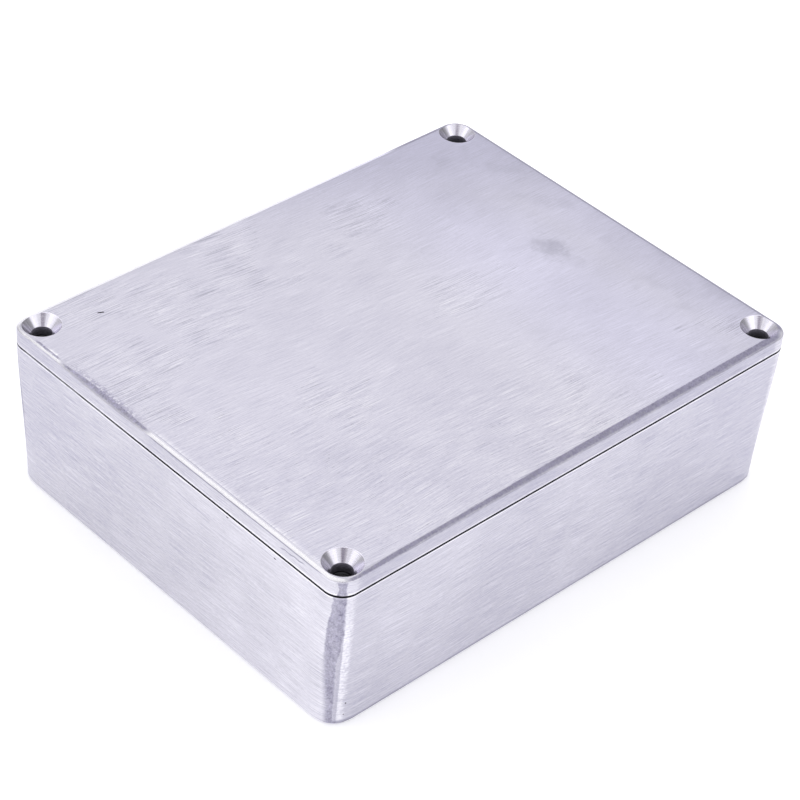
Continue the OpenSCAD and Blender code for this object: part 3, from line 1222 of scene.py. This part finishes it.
def seen_by(tree, *rays):
    """1 for a ray that shows the surroundings in the named ways, else 0."""
    path = tree.add("ShaderNodeLightPath")
    share = Socket(tree, path.outputs[rays[0]])
    for ray in rays[1:]:
        share = share.most(Socket(tree, path.outputs[ray]))
    return share


WHITE = (1, 1, 1, 1)
PAPER = (0.83, 0.83, 0.86, 1)
TO_CAMERA, IN_MIRRORS = 0.36, 0.3
MIRRORS = ("Is Glossy Ray", "Is Transmission Ray")
tree = Tree(paper.node_tree)
shown = seen_by(tree, "Is Camera Ray") * TO_CAMERA + seen_by(tree, *MIRRORS) * IN_MIRRORS
diffuse = tree.node("ShaderNodeBsdfDiffuse", None, {"Color": PAPER})
glow = tree.node("ShaderNodeEmission", None, {"Color": WHITE, "Strength": shown})
both = tree.node("ShaderNodeAddShader", None, {0: diffuse, 1: glow})
tree.add("ShaderNodeOutputMaterial", None, {0: both})
print("paper:", len(tree.tree.nodes), "nodes")

# %% White backdrop
CAMERA_SIDE = (-0.562, -0.543, 0.624)
DARK_OUTER, DARK_INNER = math.radians(17), math.radians(9)
DARK_TINT = (0.95, 0.88, 1, 1)
BRIGHTNESS = 0.95
LOW_LOSS, HIGH_LOSS, DARK_LOSS = 0.33, 0.05, 0.55
world = bpy.data.worlds.new("studio")
bpy.context.scene.world = world
world.use_nodes = True
tree = Tree(world.node_tree)
towards = tree.node("ShaderNodeTexCoord")
ways = {0: towards, 1: CAMERA_SIDE}
facing = tree.node("ShaderNodeVectorMath", {"operation": "DOT_PRODUCT"}, ways, output=1)
behind_camera = ramp(facing, math.cos(DARK_OUTER), math.cos(DARK_INNER))
mirrored = seen_by(tree, *MIRRORS)
height = tree.parts(towards)[2]
loss = LOW_LOSS - (LOW_LOSS - HIGH_LOSS) * ramp(height, 0.35, 0.8) + behind_camera * DARK_LOSS
strength = (BRIGHTNESS - mirrored * loss).most(seen_by(tree, "Is Camera Ray"))
tint = tree.colours(behind_camera * mirrored, WHITE, DARK_TINT)
light = tree.node("ShaderNodeBackground", None, {"Color": tint, "Strength": strength})
tree.add("ShaderNodeOutputWorld", None, {0: light})
print("backdrop:", len(tree.tree.nodes), "nodes")

# %% [markdown]
# ## Lamps and camera
#
# One large softbox over the back lights the top. Two narrow ones, at the back left and at the
# front right, give each wall its own level, so that the corner between them reads. All three are
# soft, because a hard lamp would show as a white spot in the metal. The camera has a long lens,
# and so the upright edges stay nearly parallel.

# %% Lamps
AIM_HEIGHT = 0.02


def softbox(name, direction, distance, width, height, radiance):
    """An area lamp that faces the box from a direction."""
    back = Vector(direction).normalized()
    lamp = bpy.data.lights.new(name, "AREA")
    lamp.shape = "RECTANGLE"
    lamp.size = width
    lamp.size_y = height
    lamp.energy = radiance * math.pi * width * height
    made = as_object(name, lamp)
    made.location = back * distance + Vector((0, 0, AIM_HEIGHT))
    made.rotation_euler = back.to_track_quat("Z", "Y").to_euler()
    made.visible_camera = False
    print(f"{name} lamp: {width} x {height} m, {lamp.energy:.2f} W")


# name, direction, distance, width, height and brightness
softbox("key", (0.2, 0.48, 0.85), 0.95, 0.9, 0.8, 0.5)
softbox("left", (-0.76, 0.36, 0.54), 1.0, 0.75, 0.35, 0.42)
softbox("right", (0.26, -0.78, 0.56), 1.0, 0.75, 0.35, 0.42)

# %% Camera
CAMERA_PLACE = Vector((-310.7526, -300.738, 364.0193))
LOOKS_AT = Vector((0.2, 0, 18.6))
TILT = math.radians(5.0)
camera_data = bpy.data.cameras.new("camera")
camera_data.lens = 125.73
camera_data.sensor_width = 36
camera = as_object("camera", camera_data)
camera.location = CAMERA_PLACE * MM
aim = LOOKS_AT * MM - camera.location
turn_to = aim.to_track_quat("-Z", "Y").to_matrix() @ Matrix.Rotation(TILT, 3, "Z")
camera.rotation_euler = turn_to.to_euler()
bpy.context.scene.camera = camera
bpy.context.scene.view_settings.view_transform = "Standard"
print(f"camera: {camera_data.lens:.1f} mm lens, {aim.length:.2f} m away")
